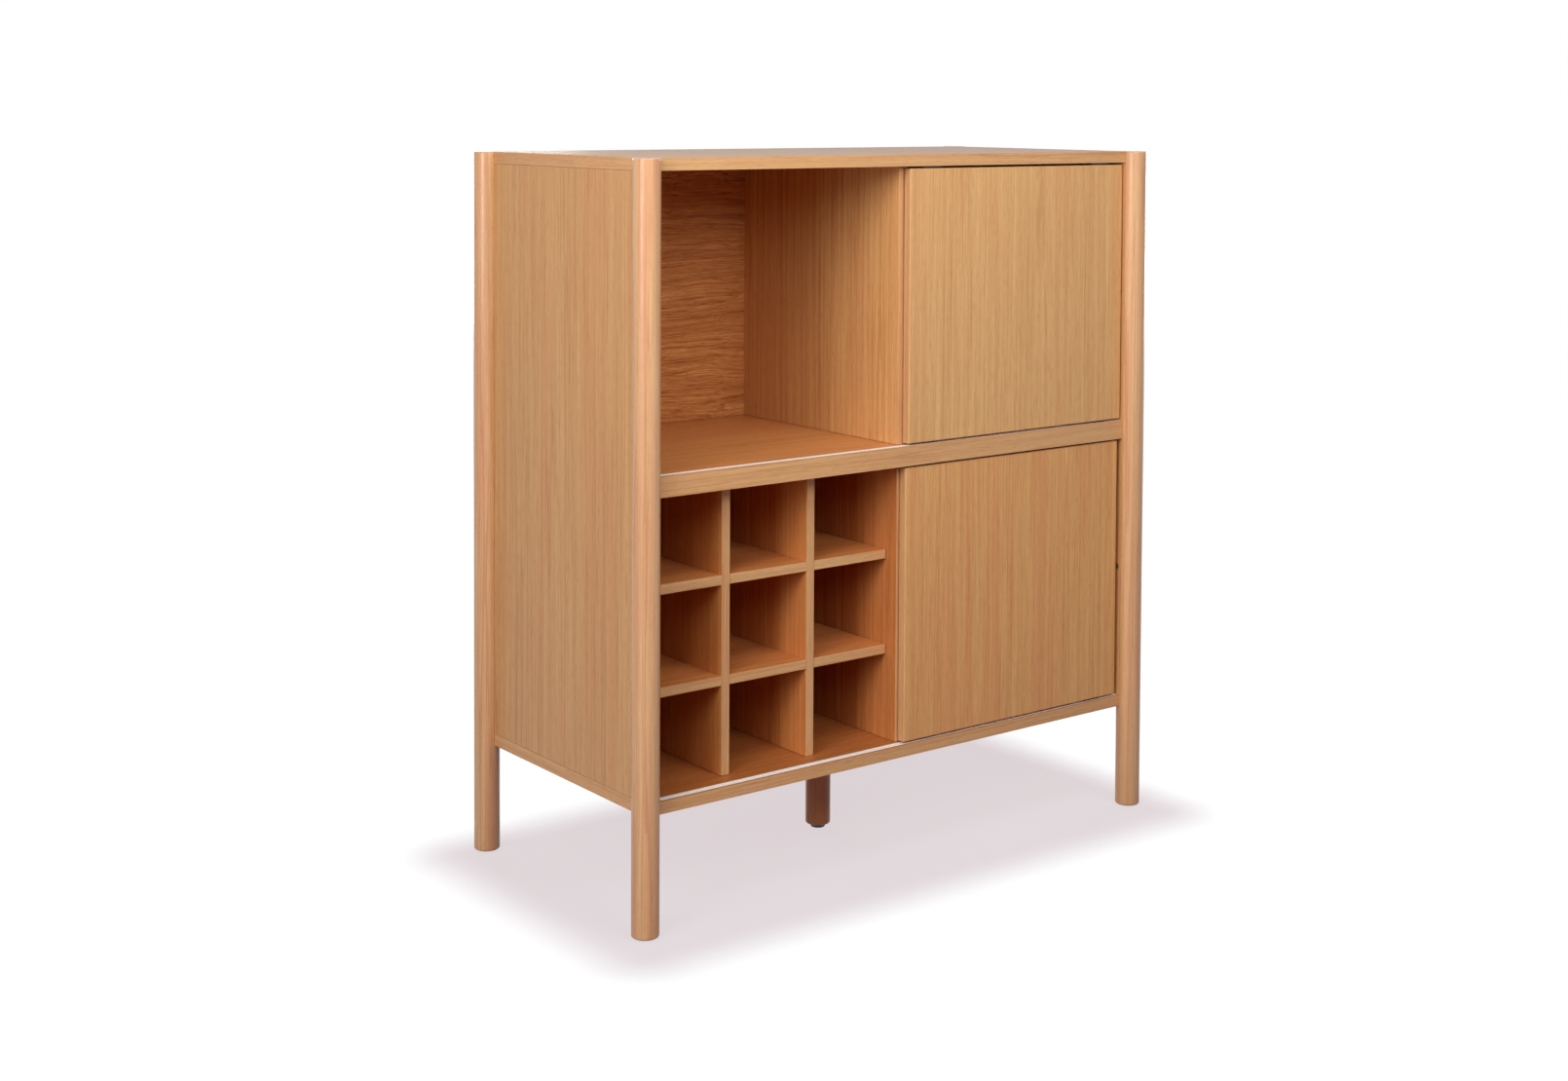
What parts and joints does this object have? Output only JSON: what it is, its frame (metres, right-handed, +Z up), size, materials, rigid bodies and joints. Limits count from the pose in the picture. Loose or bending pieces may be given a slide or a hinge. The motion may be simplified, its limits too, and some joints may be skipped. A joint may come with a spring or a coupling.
{
  "type": "wine cabinet",
  "caption": "Oak wine cabinet on round corner posts with an open compartment, a lying-bottle rack and two sliding doors, one above the other.",
  "frame": {"origin": "on the floor, under the middle of the cabinet, at the underside of the centre glide", "axes": "+X to the right along the front, +Y to the back, +Z up; the doors face -Y"},
  "size_m": [0.83, 0.4, 0.9],
  "materials": {
    "solid_oak_post": "satin lacquer",
    "oak_veneer_board": "satin lacquer",
    "oak_veneer_door": "satin lacquer",
    "black_nylon": "matt moulded",
    "white_pvc": "satin extruded",
    "zinc_plated_steel": "zinc plated",
    "beech_dowel": "bare"
  },
  "bodies": {
    "carcass": {"post_front_left": "solid_oak_post", "post_front_right": "solid_oak_post", "post_rear_left": "solid_oak_post", "post_rear_right": "solid_oak_post", "centre_leg": "solid_oak_post", "glide_front_left": "black_nylon", "glide_front_right": "black_nylon", "glide_rear_left": "black_nylon", "glide_rear_right": "black_nylon", "glide_centre": "black_nylon", "top_panel": "oak_veneer_board", "bottom_panel": "oak_veneer_board", "middle_shelf": "oak_veneer_board", "side_panel_left": "oak_veneer_board", "side_panel_right": "oak_veneer_board", "upper_divider": "oak_veneer_board", "lower_divider": "oak_veneer_board", "upper_back_panel": "oak_veneer_board", "lower_back_panel": "oak_veneer_board", "rack_upright_1": "oak_veneer_board", "rack_upright_2": "oak_veneer_board", "rack_shelf_1": "oak_veneer_board", "rack_shelf_2": "oak_veneer_board", "upper_door_track": "white_pvc", "upper_door_guide_rail": "white_pvc", "lower_door_track": "white_pvc", "lower_door_guide_rail": "white_pvc", "post_screw_front_left_lower": "zinc_plated_steel", "post_screw_front_left_upper": "zinc_plated_steel", "post_screw_front_right_lower": "zinc_plated_steel", "post_screw_front_right_upper": "zinc_plated_steel", "post_screw_rear_left_lower": "zinc_plated_steel", "post_screw_rear_left_upper": "zinc_plated_steel", "post_screw_rear_right_lower": "zinc_plated_steel", "post_screw_rear_right_upper": "zinc_plated_steel", "centre_leg_screw": "zinc_plated_steel", "dowel_top_left_front": "beech_dowel", "dowel_top_left_rear": "beech_dowel", "dowel_top_right_front": "beech_dowel", "dowel_top_right_rear": "beech_dowel", "dowel_bottom_left_front": "beech_dowel", "dowel_bottom_left_rear": "beech_dowel", "dowel_bottom_right_front": "beech_dowel", "dowel_bottom_right_rear": "beech_dowel", "dowel_shelf_left_front": "beech_dowel", "dowel_shelf_left_rear": "beech_dowel", "dowel_shelf_right_front": "beech_dowel", "dowel_shelf_right_rear": "beech_dowel"},
    "upper_door": {"upper_door": "oak_veneer_door", "upper_door_runner_left": "black_nylon", "upper_door_runner_right": "black_nylon", "upper_door_guide_left": "black_nylon", "upper_door_guide_right": "black_nylon"},
    "lower_door": {"lower_door": "oak_veneer_door", "lower_door_runner_left": "black_nylon", "lower_door_runner_right": "black_nylon", "lower_door_guide_left": "black_nylon", "lower_door_guide_right": "black_nylon"}
  },
  "joints": [
    {"name": "upper_door_slide", "type": "slide", "parent": "carcass", "child": "upper_door", "axis": [-1, 0, 0], "range_m": [0, 0.38]},
    {"name": "lower_door_slide", "type": "slide", "parent": "carcass", "child": "lower_door", "axis": [-1, 0, 0], "range_m": [-0.0045, 0.3755]}
  ]
}
